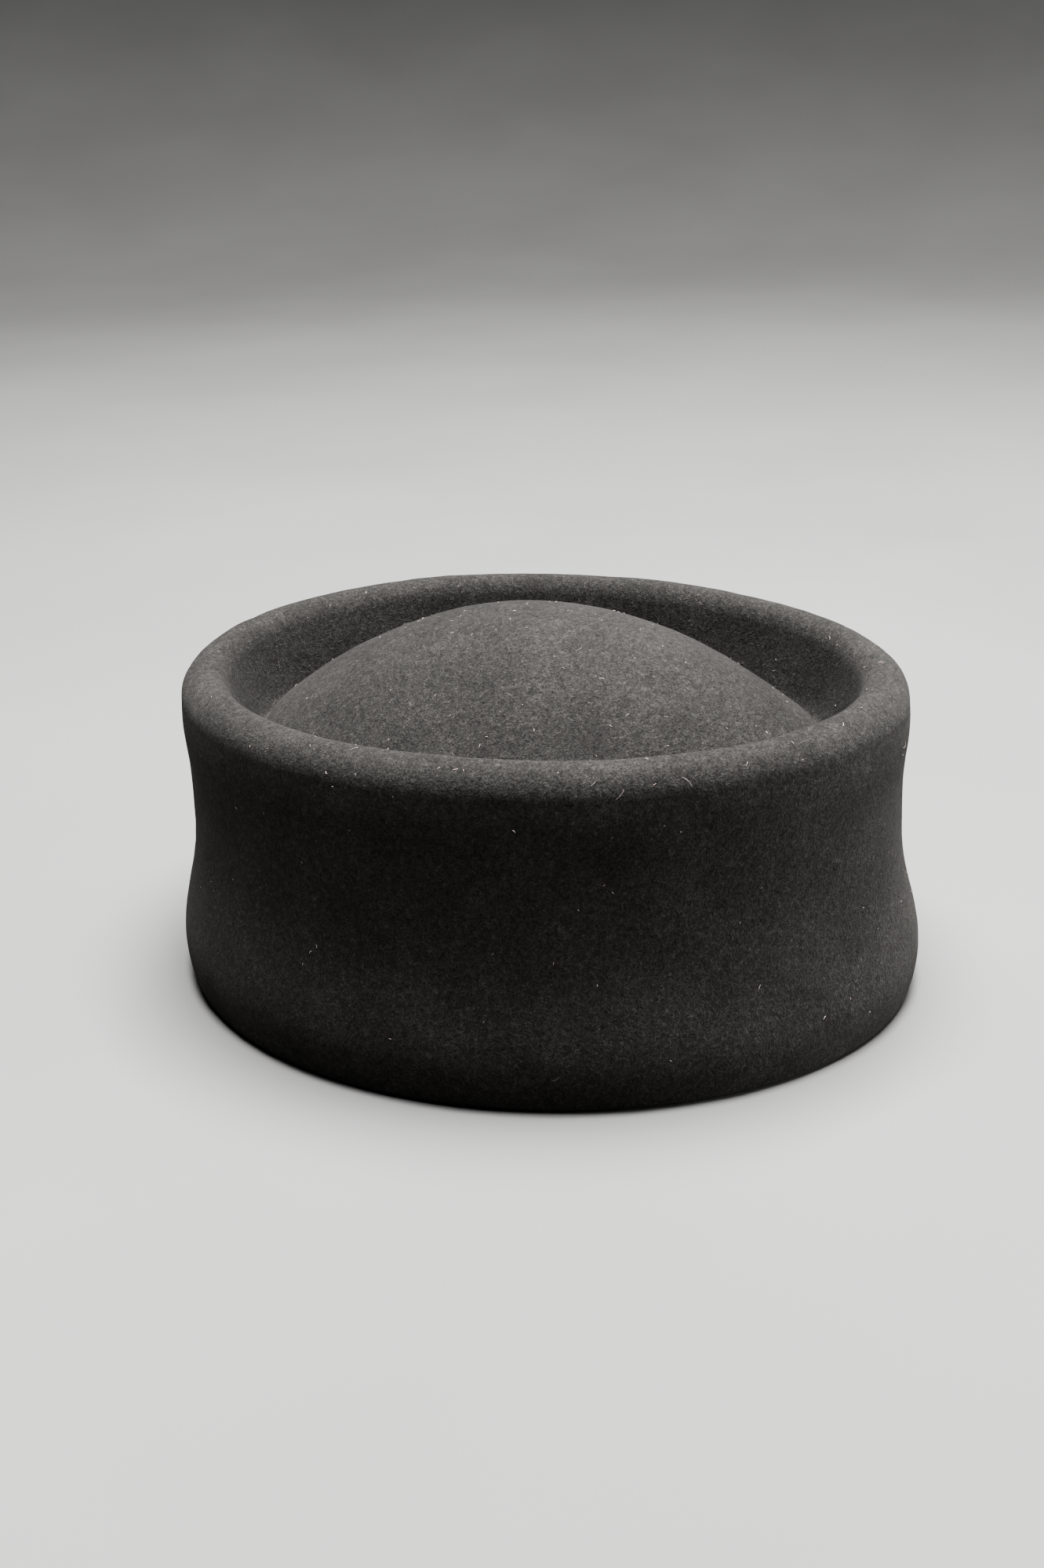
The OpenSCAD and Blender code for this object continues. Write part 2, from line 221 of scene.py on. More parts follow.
class Nodes:
    """Short names for the nodes of one material."""

    def __init__(self, name, **values):
        self.material = bpy.data.materials.new(name)
        self.material.use_nodes = True
        self.tree = self.material.node_tree
        self.tree.nodes.clear()
        out = self.add("ShaderNodeOutputMaterial")
        self.bsdf = self.add("ShaderNodeBsdfPrincipled")
        self.link(self.bsdf.outputs[0], out.inputs["Surface"])
        for key, value in values.items():
            self.bsdf.inputs[key.replace("_", " ")].default_value = value
        self.place = self.add("ShaderNodeTexCoord").outputs["Object"]

    def add(self, kind, **props):
        node = self.tree.nodes.new(kind)
        for key, value in props.items():
            setattr(node, key, value)
        return node

    def link(self, a, b):
        self.tree.links.new(a, b)

    def mapped(self, scale):
        node = self.add("ShaderNodeMapping")
        node.inputs["Scale"].default_value = scale
        self.link(self.place, node.inputs["Vector"])
        return node.outputs[0]

    def noise(self, scale, detail=3.0, rough=0.55, distort=0.0, vector=None):
        node = self.add("ShaderNodeTexNoise")
        settings = {"Scale": scale, "Detail": detail, "Roughness": rough, "Distortion": distort}
        for key, value in settings.items():
            node.inputs[key].default_value = value
        self.link(vector or self.place, node.inputs["Vector"])
        return node.outputs["Fac"]

    def strands(self, scale, distort, shift):
        """Thin curled lines that come and go."""
        node = self.add("ShaderNodeVectorMath", operation="ADD")
        node.inputs[1].default_value = (shift, shift, shift)
        self.link(self.place, node.inputs[0])
        line = self.noise(scale, 1.0, 0.4, distort, node.outputs[0])
        line = self.math("ABSOLUTE", self.math("SUBTRACT", line, 0.5))
        line = self.ramp(line, (0.0, 1.0), (0.055, 0.0))
        patches = self.ramp(self.noise(scale * 0.8, 2), (0.45, 0.0), (0.6, 1.0))
        return self.math("MULTIPLY", line, patches)

    def math(self, operation, a, b=None):
        node = self.add("ShaderNodeMath", operation=operation)
        for k, x in enumerate((a, b)):
            if x is None:
                continue
            if isinstance(x, (int, float)):
                node.inputs[k].default_value = x
            else:
                self.link(x, node.inputs[k])
        return node.outputs[0]

    def ramp(self, x, *stops):
        """stops are (position, value or colour)."""
        node = self.add("ShaderNodeValToRGB")
        points = node.color_ramp.elements
        while len(points) < len(stops):
            points.new(0.5)
        for point, (at, colour) in zip(points, stops):
            point.position = at
            c = (colour,) * 3 if isinstance(colour, (int, float)) else colour
            point.color = (*c, 1)
        self.link(x, node.inputs[0])
        return node.outputs[0]

    def mix(self, share, a, b, blend="MIX"):
        node = self.add("ShaderNodeMix", data_type="RGBA", blend_type=blend)
        for socket, x in ((node.inputs[0], share), (node.inputs[6], a), (node.inputs[7], b)):
            if isinstance(x, (int, float)):
                socket.default_value = x
            elif isinstance(x, tuple):
                socket.default_value = (*x, 1)
            else:
                self.link(x, socket)
        return node.outputs[2]

    def bump(self, height, strength, distance, under=None):
        node = self.add("ShaderNodeBump")
        node.inputs["Strength"].default_value = strength
        node.inputs["Distance"].default_value = distance
        self.link(height, node.inputs["Height"])
        if under is not None:
            self.link(under, node.inputs["Normal"])
        return node.outputs[0]

    def finish(self, colour=None, rough=None, normal=None):
        for key, x in (("Base Color", colour), ("Roughness", rough), ("Normal", normal)):
            if x is not None:
                self.link(x, self.bsdf.inputs[key])
        return self.material


def felt_material():
    """Matted wool: pale fibre tips over a dark base, in short broken strands that point every way. The base is
    darker where the fine grain's bump sinks, and the whole colour darker where the tufts' bump sinks: partly
    the fibres' own tone, partly painted shade in the pits.
    """
    n = Nodes("wool_felt", Sheen_Weight=0.035, Sheen_Roughness=0.45, Specular_IOR_Level=0.15)
    n.bsdf.inputs["Sheen Tint"].default_value = (1.0, 0.97, 0.93, 1)
    fibre = n.mix(0.5, n.strands(900, 1.2, 0.0), n.strands(1500, 0.8, 7.3), "LIGHTEN")
    grain = n.noise(1900, 3, 0.7, 0.4)
    tufts = n.noise(600, 3, 0.6, 0.8)
    mottle = n.noise(60, 3, 0.5)
    # The base colour follows the grain that also raises the fine bump, darker in its low spots: partly the
    # fibres' own tone, partly painted shade in the pits.
    base_and_pit_shade = n.ramp(grain, (0.30, (0.016, 0.0154, 0.0146)), (0.70, (0.053, 0.0508, 0.0475)))
    colour = n.mix(n.math("MULTIPLY", fibre, 0.5), base_and_pit_shade, (0.118, 0.1135, 0.106))
    uneven = n.ramp(mottle, (0.3, 0.85), (0.7, 1.1))
    # Darker where the tufts' bump sinks: painted shade in the hollows between tufts. The mottle on top is the
    # felt's own uneven tone.
    shade = n.math("MULTIPLY", n.ramp(tufts, (0.3, 0.62), (0.7, 1.12)), uneven)
    colour = n.mix(1.0, colour, shade, "MULTIPLY")
    height = n.math("ADD", n.math("MULTIPLY", fibre, 0.5), grain)
    fine = n.bump(height, 0.7, 0.00035)
    broad = n.bump(tufts, 0.5, 0.0006, fine)
    return n.finish(colour, n.ramp(grain, (0.3, 0.95), (0.7, 0.85)), broad)


def ribbon_material():
    """Black grosgrain, with its weave drawn out across the ribbon."""
    n = Nodes("grosgrain", Sheen_Weight=0.2, Specular_IOR_Level=0.4)
    weave = n.noise(1800, 2, 0.5, 0.0, n.mapped((1, 1, 2.2)))
    tone = n.ramp(n.noise(120, 3), (0.3, 0.0), (0.7, 1.0))
    colour = n.mix(tone, (0.010, 0.010, 0.011), (0.020, 0.020, 0.021))
    colour = n.mix(n.ramp(weave, (0.35, 0.0), (0.75, 0.6)), colour, (0.035, 0.035, 0.036))
    return n.finish(colour, n.ramp(weave, (0.3, 0.45), (0.7, 0.65)), n.bump(weave, 0.4, 0.00015))


def satin_material():
    """Black lining satin with a broad soft shine and fine creases."""
    n = Nodes("satin", Specular_IOR_Level=0.5, Sheen_Weight=0.25, Sheen_Roughness=0.4)
    yarn = n.noise(1700, 2, 0.5, 0.0, n.mapped((1, 1, 0.2)))
    creases = n.noise(130, 4, 0.6, 1.2)
    tone = n.ramp(n.noise(40, 3), (0.3, 0.0), (0.7, 1.0))
    colour = n.mix(tone, (0.014, 0.014, 0.017), (0.024, 0.024, 0.028))
    colour = n.mix(n.ramp(yarn, (0.35, 0.0), (0.75, 0.5)), colour, (0.040, 0.040, 0.046))
    weave = n.bump(yarn, 0.35, 0.00012)
    rough = n.ramp(yarn, (0.3, 0.38), (0.7, 0.52))
    return n.finish(colour, rough, n.bump(creases, 0.22, 0.0009, weave))


def thread_material():
    n = Nodes("thread", Sheen_Weight=0.3, Specular_IOR_Level=0.3)
    ply = n.noise(3000, 3, 0.6)
    colour = n.ramp(ply, (0.3, (0.016, 0.016, 0.017)), (0.7, (0.05, 0.05, 0.052)))
    return n.finish(colour, n.ramp(ply, (0.3, 0.55), (0.7, 0.8)))


def label_material(name, half_w, half_l, centre):
    """Blank woven tape with a plain border line.

    centre is the label's middle across and along, in metres, and the axis that runs along it.
    """
    n = Nodes(name, Sheen_Weight=0.15, Specular_IOR_Level=0.35)
    weft = n.noise(1900, 2, 0.5, 0.0, n.mapped((0.4, 1, 1)))
    split = n.add("ShaderNodeSeparateXYZ")
    n.link(n.place, split.inputs[0])
    across = n.math("ABSOLUTE", n.math("SUBTRACT", split.outputs[0], centre[0]))
    along = n.math("ABSOLUTE", n.math("SUBTRACT", split.outputs[centre[2]], centre[1]))
    past_side, past_end = n.math("SUBTRACT", across, half_w), n.math("SUBTRACT", along, half_l)
    edge = n.math("MAXIMUM", past_side, past_end)
    line = n.math("LESS_THAN", n.math("ABSOLUTE", edge), 0.0003)
    cloth = n.ramp(weft, (0.3, (0.27, 0.262, 0.238)), (0.7, (0.44, 0.428, 0.392)))
    colour = n.mix(line, cloth, (0.05, 0.05, 0.055))
    return n.finish(colour, n.ramp(weft, (0.3, 0.5), (0.7, 0.7)), n.bump(weft, 0.4, 0.00015))


def steel_material():
    n = Nodes("drawn_wire", Metallic=1.0)
    streak = n.noise(900, 3, 0.6)
    colour = n.ramp(streak, (0.3, (0.30, 0.31, 0.32)), (0.7, (0.48, 0.49, 0.50)))
    return n.finish(colour, n.ramp(streak, (0.3, 0.3), (0.7, 0.5)))


FELT = felt_material()
RIBBON = ribbon_material()
SATIN = satin_material()
THREAD = thread_material()
STEEL = steel_material()

# ---- felt body ----

# Rows of the felt's outer face above the fold under the hem
DOME_ROWS, BEND_ROWS, ROLL_ROWS, WALL_ROWS = 59, 34, 44, 83
SKIN_ROWS = DOME_ROWS + BEND_ROWS + ROLL_ROWS + WALL_ROWS


def bezier(p, t):
    t = t[:, None]
    u = 1 - t
    return p[0] * u**3 + 3 * p[1] * t * u**2 + 3 * p[2] * t * t * u + p[3] * t**3


def hem_fold(r, side):
    """Half of the fold under the hem, from its flat. side is 1 on its outer half and -1 on its inner one."""
    turn = np.linspace(math.pi / 2, 0, 9)
    middle = r + wall_d(HEM_R) - HEM_R
    reach = REST_W / 2 + (HEM_R - REST_W / 2) * np.cos(turn)
    return np.stack([middle + side * reach, HEM_R * (1 - np.sin(turn))], -1)


def felt_section(r, e, f):
    """The felt's outer face from near the peak to the flat under the hem, as [radius, z].

    r is the half size of the wall at its waist, e the nominal one of the dome, and f the one of the ring
    where the dome's flank hands over to the moat.
    """
    slope = -DOME_H * DOME_N / e * (f / e) ** (DOME_N - 1)
    run = np.array([1, slope]) / math.hypot(1, slope)
    foot = np.array([f, dome_z(f / e)])
    roll_c = r + wall_d(ROLL_Z) - ROLL_R
    last = math.atan2(ROLL_IN, ROLL_R * math.tan(MOAT_LEAN))
    lean = np.array([math.sin(MOAT_LEAN), math.cos(MOAT_LEAN)])
    top = np.array([roll_c - ROLL_IN * math.sin(last), ROLL_Z + ROLL_R * math.cos(last)])
    bend = (foot, foot + FLANK_PULL * run, top - WALL_PULL * lean, top)
    x = f * np.arange(1, DOME_ROWS + 1) / (DOME_ROWS + 1)
    turn = np.linspace(-last, math.pi / 2, ROLL_ROWS + 1)[1:]
    roll_x = roll_c + np.where(turn < 0, ROLL_IN, ROLL_R) * np.sin(turn)
    z = HEM_R + (ROLL_Z - HEM_R) * (1 - np.arange(1, WALL_ROWS + 1) / (WALL_ROWS + 1)) ** 1.15
    return np.concatenate(
        [
            np.stack([x, dome_z(x / e)], -1),
            bezier(bend, np.linspace(0, 1, BEND_ROWS)),
            np.stack([roll_x, ROLL_Z + ROLL_R * np.cos(turn)], -1),
            np.stack([r + wall_d(z), z], -1),
            hem_fold(r, 1)[::-1],
        ]
    )


def inset(s, t):
    """A section moved by t to its inner side."""
    return s + t * right_of(s)


def felt_loop(r, e, f):
    """The felt's two skins in one section: out from the peak, under the hem and back inside."""
    outer = felt_section(r, e, f)
    inner = inset(outer[:SKIN_ROWS], FELT_T)[::3]
    above_hem = inner[(inner[:, 0] < r - 12) | (inner[:, 1] > HEM_H + 1.5)]
    hem = np.linspace(HEM_R + 1, HEM_H - 0.5, 8)
    deep = r + wall_d(HEM_H) - 2 * FELT_T
    return np.concatenate(
        [
            outer,
            hem_fold(r, -1),
            np.stack([r + wall_d(hem) - 2 * FELT_T, hem], -1),
            [[deep + 0.4, HEM_H], [deep + 1.2, HEM_H + 0.05], [deep + FELT_T, HEM_H]],
            above_hem[::-1],
        ]
    )


def felt_grid(seg):
    """The section carried round the oval: one row for each of its points."""
    long, wide = felt_loop(HALF_L, DOME[0], FLANK[0]), felt_loop(HALF_W, DOME[1], FLANK[1])
    q = TAU * np.arange(seg) / seg
    x, y = plan(q[None], long[:, :1], wide[:, :1])
    z = long[:, 1:] * np.sin(q) ** 2 + wide[:, 1:] * np.cos(q) ** 2
    edge = HALF_L - ROLL_R - ROLL_IN + WAIST_D
    back = DOME_SHIFT * np.clip((edge - long[:, :1]) / (edge - FLANK[0]), 0, 1)
    return np.stack(np.broadcast_arrays(x, y + back, z), -1)


def grid_normals(grid):
    across = np.roll(grid, -1, 1) - np.roll(grid, 1, 1)
    down = np.gradient(grid, axis=0)
    return unit(np.cross(down, across))


felt = felt_grid(300)
normals = grid_normals(felt)
# The felt was pulled over its block by hand, so its face is never quite even.
uneven = 0.16 * waves(felt, 62, 1) + 0.09 * waves(felt, 23, 2) + 0.04 * waves(felt, 8, 3)
rows = np.arange(len(felt))[:, None]
uneven = uneven * (rows < SKIN_ROWS) * smooth(felt[..., 2], 1.0, 7.0)
felt = felt + normals * uneven[..., None]
peak = felt[0].mean(0) + [0, 0, 0.02]
felt_piece = capped_solid("felt_body", felt, peak, felt[-1].mean(0), FELT, HAT, ["felt_crown"])


def lint():
    """Pale specks and a few loose hairs caught on the felt, most of them short."""
    rng = np.random.default_rng(31)
    skin = felt[4 : SKIN_ROWS - 6 : 2]
    face = normals[4 : SKIN_ROWS - 6 : 2]
    down, across = np.gradient(skin, axis=0), np.roll(skin, -1, 1) - skin
    area = np.linalg.norm(np.cross(down, across), axis=2).ravel()
    area *= 0.35 + 0.65 * (face[..., 2].ravel() > 0.3)
    count, long_ones = 420, 30
    pick = rng.choice(area.size, count, p=area / area.sum())
    p, n = skin.reshape(-1, 3)[pick], face.reshape(-1, 3)[pick]
    aside = unit(np.cross(n, rng.normal(size=(count, 3))))
    turn = np.cross(n, aside)
    length = rng.lognormal(-0.55, 0.35, count)
    length[:long_ones] = rng.uniform(1.4, 3.4, long_ones)
    bend = rng.normal(0, 0.55, count)
    lift = rng.uniform(0.03, 0.16, count) + 0.10 * length * rng.uniform(0, 1, count)
    t = np.linspace(0, 1, 7)[None, :, None]
    length, bend, lift = (x[:, None, None] for x in (length, bend, lift))
    path = (
        p[:, None]
        + aside[:, None] * length * (t - 0.5)
        + turn[:, None] * length * bend * (t - 0.5) ** 2
        + n[:, None] * (0.02 + lift * np.sin(t * math.pi * 0.8))
    )
    radius = rng.uniform(0.030, 0.070, count)
    radius[:long_ones] = rng.uniform(0.016, 0.024, long_ones)
    points, faces = tubes(path, radius, sides=4, taper=0.6)
    n = Nodes("lint", Sheen_Weight=0.2)
    tone = n.noise(90, 2)
    pink, pale, grey = (0.62, 0.42, 0.40), (0.66, 0.60, 0.56), (0.36, 0.33, 0.31)
    colour = n.ramp(tone, (0.36, pink), (0.5, pale), (0.66, grey))
    material = n.finish(colour, n.ramp(tone, (0.3, 0.6), (0.7, 0.8)))
    return make_piece("felt_lint", points, faces, material, HAT)


lint()

# ---- sweatband and bow ----

HEM_IN = wall_d(HEM_R) - 2 * HEM_R


def band_d(z):
    """Offset of the sweatband's outer face: upright by the hem, then leaning in."""
    return HEM_IN - CLEAR - BAND_LEAN * (np.maximum(z - HEM_H, 0) / (BAND_Z + BAND_H - HEM_H)) ** 1.5


def band_grid():
    """The sweatband: ribs from edge to edge, a corded selvedge, and a free edge that wavers a little."""
    ribs, rib_h = 590, 0.14
    q = TAU * np.arange(ribs * 4) / (ribs * 4)
    z = BAND_Z + BAND_H * np.array([0, 0.015, 0.035, 0.15, 0.32, 0.5, 0.68, 0.85, 0.965, 0.985, 1])
    edge = np.array([0.25, 0.9, 0.7, 1, 1, 1, 1, 1, 0.7, 0.9, 0.25])
    rib = rib_h * np.abs(np.cos(q[:, None] * ribs / 2)) * edge
    wave = 0.22 * waves(on_wall(q, 0, 0.0), 45, 5)[:, None] * smooth(z, 14, 27)
    outer = on_wall(q[:, None], band_d(z) + wave, z)
    inner = on_wall(q[:, None], band_d(z) + wave - BAND_T + rib_h - rib, z)
    return np.concatenate([outer, inner[:, ::-1]], 1)


sweatband = ring_solid("sweatband_ribbon", band_grid(), RIBBON, HAT, ["sweatband"])

BOW_Z = BAND_Z + BAND_H / 2
BOW_Y = float(HALF_L + band_d(BOW_Z + BOW_H / 2 + 1) - BAND_T - CLEAR - 1.5)


def bow_loop(side):
    """A flattened loop of ribbon, pinched where the knot holds it."""
    start, length, flat, half_t = 1.5, 13.4, 1.05, 0.14
    rib_h, rib_pitch = 0.06, 0.9
    turn = TAU * (np.linspace(0, 1, 120) - 0.5) * 0.5
    x = start + length * np.cos(turn) ** 0.55 * smooth(np.cos(turn), -0.001, 0.02)
    y = flat * np.sign(turn) * np.abs(np.sin(turn)) ** 0.6
    pinch = smooth(x, start, 7.0)
    y = y * (0.45 + 0.55 * pinch)
    half = BOW_H / 2 * (0.68 + 0.32 * pinch)
    path = np.stack([x, y], -1)
    n = right_of(path)
    travel = np.cumsum(np.linalg.norm(np.gradient(path, axis=0), axis=1))
    rib = rib_h * np.abs(np.sin(travel * math.pi / rib_pitch))
    width = np.linspace(-1, 1, 9)
    sag = 0.18 * (1 - pinch[:, None]) * np.cos(width * 7)
    out = path[:, None] + n[:, None] * (half_t + rib[:, None] + sag)[..., None]
    inn = path[:, None] - n[:, None] * (half_t - sag)[..., None]
    z = BOW_Z + width * half[:, None]
    outer = np.stack([out[..., 0], out[..., 1], z], -1)
    inner = np.stack([inn[..., 0], inn[..., 1], z], -1)[:, ::-1]
    grid = np.concatenate([outer, inner], 1)
    tilt = math.radians(-4)
    gx = grid[..., 0] * math.cos(tilt) - grid[..., 1] * math.sin(tilt)
    gy = grid[..., 0] * math.sin(tilt) + grid[..., 1] * math.cos(tilt)
    return np.stack([side * gx, gy + BOW_Y, grid[..., 2]], -1)


def bow_loops():
    points, faces = [], []
    for side in (1, -1):
        grid = bow_loop(side)
        rows, cols = grid.shape[:2]
        start = sum(len(p) for p in points)
        quads = grid_faces(rows, cols, False, True)
        ends = np.array([np.arange(cols), (rows - 1) * cols + np.arange(cols)[::-1]])
        if side < 0:
            quads, ends = quads[:, ::-1], ends[:, ::-1]
        points.append(grid.reshape(-1, 3))
        faces += [quads + start, ends + start]
    points = np.concatenate(points)
    return make_piece("bow_loops_ribbon", points, faces, RIBBON, HAT, ["bow_loops"])


def arc(x, y, r, start, end, steps):
    t = np.linspace(start, end, steps)
    return np.stack([x + r * np.cos(t), y + r * np.sin(t)], -1)


def strip(path, half):
    """A closed section from an open path, half a thickness to each side of it."""
    n = half * right_of(path)
    return np.concatenate([path + n, (path - n)[::-1]])


def bow_knot():
    """A strip of the same ribbon, folded in three along its length and wrapped over the loops."""
    lay = 0.27
    folded = np.concatenate(
        [
            np.stack([np.linspace(1.4, -1.3, 6), np.full(6, -2 * lay)], -1),
            arc(-1.42, -lay, lay, -math.pi / 2, -3 * math.pi / 2, 7),
            np.stack([np.linspace(-1.2, 1.4, 9), np.zeros(9)], -1),
            arc(1.55, -lay / 2, lay / 2, math.pi / 2, -math.pi / 2, 5),
            np.stack([np.linspace(1.4, -1.25, 6), np.full(6, -lay)], -1),
        ]
    )
    section = strip(folded, 0.09)
    turn = TAU * np.arange(144) / 144
    crease = 0.13 * np.cos(section[:, 0] * 2.6) * (section[:, 1] > -lay / 2)
    off = section[:, 1] + crease
    half_y, half_z = 1.3, 4.9
    y = (half_y + off) * (np.sign(np.cos(turn)) * np.abs(np.cos(turn)) ** 0.5)[:, None]
    z = (half_z + off) * (np.sign(np.sin(turn)) * np.abs(np.sin(turn)) ** 0.5)[:, None]
    x = section[:, 0] * np.ones((len(turn), 1))
    grid = np.stack([x, y + BOW_Y, z + BOW_Z], -1)
    return ring_solid("bow_knot_ribbon", grid, RIBBON, HAT, ["bow_knot"])


loops_piece, knot_piece = bow_loops(), bow_knot()

# ---- lining ----


def lining_d(z):
    """Offset of the side lining's outer face, just inside the felt."""
    return wall_d(z) - FELT_T - CLEAR - 0.15


TIP_D = float(lining_d(SEAM_Z)) - SATIN_T
TIP_L, TIP_W = HALF_L + TIP_D, HALF_W + TIP_D
TIP_HANG = 0.35  # how far the slack tip hangs below its CAD solid


def tip_z(s):
    """Height of the tip. s runs from 0 in its middle to 1 at its seam."""
    return SEAM_Z + 2 * CLEAR + TIP_RISE * (1 - s * s) ** 4


def lining_side_grid():
    """The side lining: gathered at the tip seam, with its own lapped join near the centre back."""
    q = TAU * np.arange(900) / 900
    z = np.linspace(LINING_Z, SEAM_Z, 26)
    near_seam = smooth(z, 30, 56)
    gather = np.abs(np.sin(q * 47 + 2.5 * np.sin(q * 5))) * near_seam[:, None] ** 1.4
    soft = waves(on_wall(q[None], 0, z[:, None] * 0.35), 16, 8)
    lap_at, lap_w = BACK + 0.16, 0.010
    lap = np.exp(-(((q - lap_at) / lap_w) ** 2))
    inward = 0.22 * gather + 0.12 * np.clip(soft, -1, 1) + 0.12 + 0.22 * lap
    outer = on_wall(q[None], lining_d(z)[:, None], z[:, None])
    inner = on_wall(q[None], lining_d(z)[:, None] - SATIN_T - inward, z[:, None])
    return np.swapaxes(np.concatenate([outer, inner[::-1]], 0), 0, 1)


def lining_tip_grid():
    """The tip: puckered all round its seam, with loose folds further in."""
    s = np.linspace(0, 1, 62)[1:]
    q = TAU * np.arange(400) / 400
    x, y = plan(q[None], TIP_L * s[:, None], TIP_W * s[:, None])
    z = tip_z(s)[:, None] * np.ones_like(x)
    flat = np.stack([x, y, z * 0], -1)
    near_seam = (smooth(s, 0.72, 0.97) * (1.02 - s))[:, None]
    pucker = np.sin(q * 61 + 3 * np.sin(q * 4)) * near_seam
    broad = (smooth(s, 0.32, 0.6) * (1 - smooth(s, 0.9, 1.0)))[:, None]
    fine = (smooth(s, 0.34, 0.5) * (1 - smooth(s, 0.85, 0.98)))[:, None]
    folds = waves(flat, 34, 11) * broad + 0.4 * waves(flat, 12, 12) * fine
    z = z - TIP_HANG - 0.35 * np.clip(folds, -1.5, 1.5) - 1.44 * pucker
    z = np.where(s[:, None] > 0.999, tip_z(1.0), z)
    upper = np.stack([x, y, z + SATIN_T], -1)
    lower = np.stack([x, y, z], -1)[::-1]
    return np.concatenate([upper, lower], 0)


def piping_grid():
    """The covered cord in the tip seam, with small puckers in its satin."""
    q = TAU * np.arange(840) / 840
    turn = TAU * np.arange(14) / 14
    r = PIPING_R + 0.045 * np.sin(q[:, None] * 150 + turn) + 0.03 * np.sin(q[:, None] * 67 + turn * 2)
    d = TIP_D - CLEAR - PIPING_R
    return on_wall(q[:, None], d + r * np.cos(turn), SEAM_Z - PIPING_DROP - r * np.sin(turn))


side_piece = ring_solid("lining_side_satin", lining_side_grid(), SATIN, HAT, ["lining_side"])
tip_peak = float(tip_z(0)) - TIP_HANG
tip_piece = capped_solid(
    "lining_tip_satin",
    lining_tip_grid(),
    [0, 0, tip_peak + SATIN_T],
    [0, 0, tip_peak],
    SATIN,
    HAT,
    ["lining_tip"],
)
piping_piece = ring_solid("tip_piping_satin", piping_grid(), SATIN, HAT, ["tip_piping"])

# ---- labels ----

MAKER_W, MAKER_L = 46.0, 26.0
SIZE_FROM, SIZE_TO, SIZE_Z, SIZE_H = 66, 75, BAND_Z + 6, 13
CARE_W, CARE_L = 22.0, 26.0


def slab(top, bottom):
    """A thin closed solid between two grids of the same shape: points and faces."""
    rows, cols = top.shape[:2]
    n = rows * cols
    points = np.concatenate([top.reshape(-1, 3), bottom.reshape(-1, 3)])
    quads = grid_faces(rows, cols, False, False)
    rim = np.concatenate(
        [
            np.arange(cols),
            np.arange(1, rows) * cols + cols - 1,
            (rows - 1) * cols + np.arange(cols - 2, -1, -1),
            np.arange(rows - 2, 0, -1) * cols,
        ]
    )
    after = np.roll(rim, -1)
    sides = np.stack([rim, after, after + n, rim + n], -1)
    return points, [quads, quads[:, ::-1] + n, sides]


def maker_label():
    """A blank tape under the tip, with its two short ends turned under."""
    half_w, half_l = MAKER_W / 2, MAKER_L / 2
    x, y = np.meshgrid(np.linspace(-half_w, half_w, 93), np.linspace(-half_l, half_l, 53), indexing="ij")
    z = tip_z(np.hypot(x / TIP_W, y / TIP_L)) - TIP_HANG - CLEAR
    rib = 0.035 * np.cos(y * TAU)
    fold = 0.16 * smooth(np.abs(x), half_w - 3.2, half_w - 2.9)
    points, faces = slab(np.stack([x, y, z], -1), np.stack([x, y, z - LABEL_T - rib - fold], -1))
    material = label_material("maker_label_tape", 0.0195, 0.0105, (0.0, 0.0, 1))
    return make_piece("maker_label_tape", points, faces, material, HAT, ["maker_label"])


def size_label():
    """A blank tab on the sweatband, to one side of the bow."""
    q = np.radians(np.linspace(SIZE_FROM, SIZE_TO, 40))
    q, z = np.meshgrid(q, np.linspace(SIZE_Z, SIZE_Z + SIZE_H, 40), indexing="ij")
    rib = 0.03 * np.cos(z * TAU / 0.9)
    d = band_d(z) - BAND_T - CLEAR / 2
    points, faces = slab(on_wall(q, d, z), on_wall(q, d - LABEL_T - rib, z))
    x = plan(math.radians((SIZE_FROM + SIZE_TO) / 2), HALF_L - 2, HALF_W - 2)[0]
    centre = (float(x) * MM, (SIZE_Z + SIZE_H / 2) * MM, 2)
    material = label_material("size_label_tape", 0.0045, 0.0050, centre)
    return make_piece("size_label_tape", points, faces, material, HAT, ["size_label"])


def care_label():
    """A tape folded double: two layers joined by a soft fold at the bottom, and both caught at the top."""
    lo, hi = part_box("care_label")
    top, middle = hi[2] / MM, (lo[1] + hi[1]) / 2 / MM
    half_t, steps, cols = 0.08, 30, 45
    one_way = np.linspace(0.2, CARE_L - 0.25, steps)
    down = np.concatenate([one_way, one_way[::-1]])
    side = np.repeat([-1.0, 1.0], steps)
    gap = 0.17 + 0.10 * np.sin(np.clip(down / CARE_L, 0, 1) * math.pi)
    path = np.stack([side * gap, top - down], -1)
    n = right_of(path)
    x = np.linspace(-CARE_W / 2, CARE_W / 2, cols)
    curl = -0.35 * (x / (CARE_W / 2)) ** 2 * smooth(down, 4, CARE_L)[:, None]
    rib = 0.02 * np.cos(x * TAU / 0.8)
    outer = path[:, None] + n[:, None] * (half_t + rib)[None, :, None]
    inner = path[:, None] - n[:, None] * half_t * np.ones((1, cols, 1))

    def placed(g):
        return np.stack([x * np.ones((len(down), 1)), middle + g[..., 0] + curl, g[..., 1]], -1)

    points, faces = slab(placed(outer), placed(inner))
    centre = (0.0, (top - CARE_L / 2) * MM, 2)
    material = label_material("care_label_tape", 0.0085, 0.0105, centre)
    return make_piece("care_label_tape", points, faces, material, TAG, ["care_label"])


maker_piece, size_piece, care_piece = maker_label(), size_label(), care_label()

# ---- stitches ----

UP = np.array([0, 0, 1.0])


def wall_frame(q, d, z):
    """At each angle, a point on the wall with the directions along it and out of it."""
    along = unit(on_wall(q - 0.01, d, z) - on_wall(q + 0.01, d, z))
    return on_wall(q, d, z), along, np.cross(along, -UP)


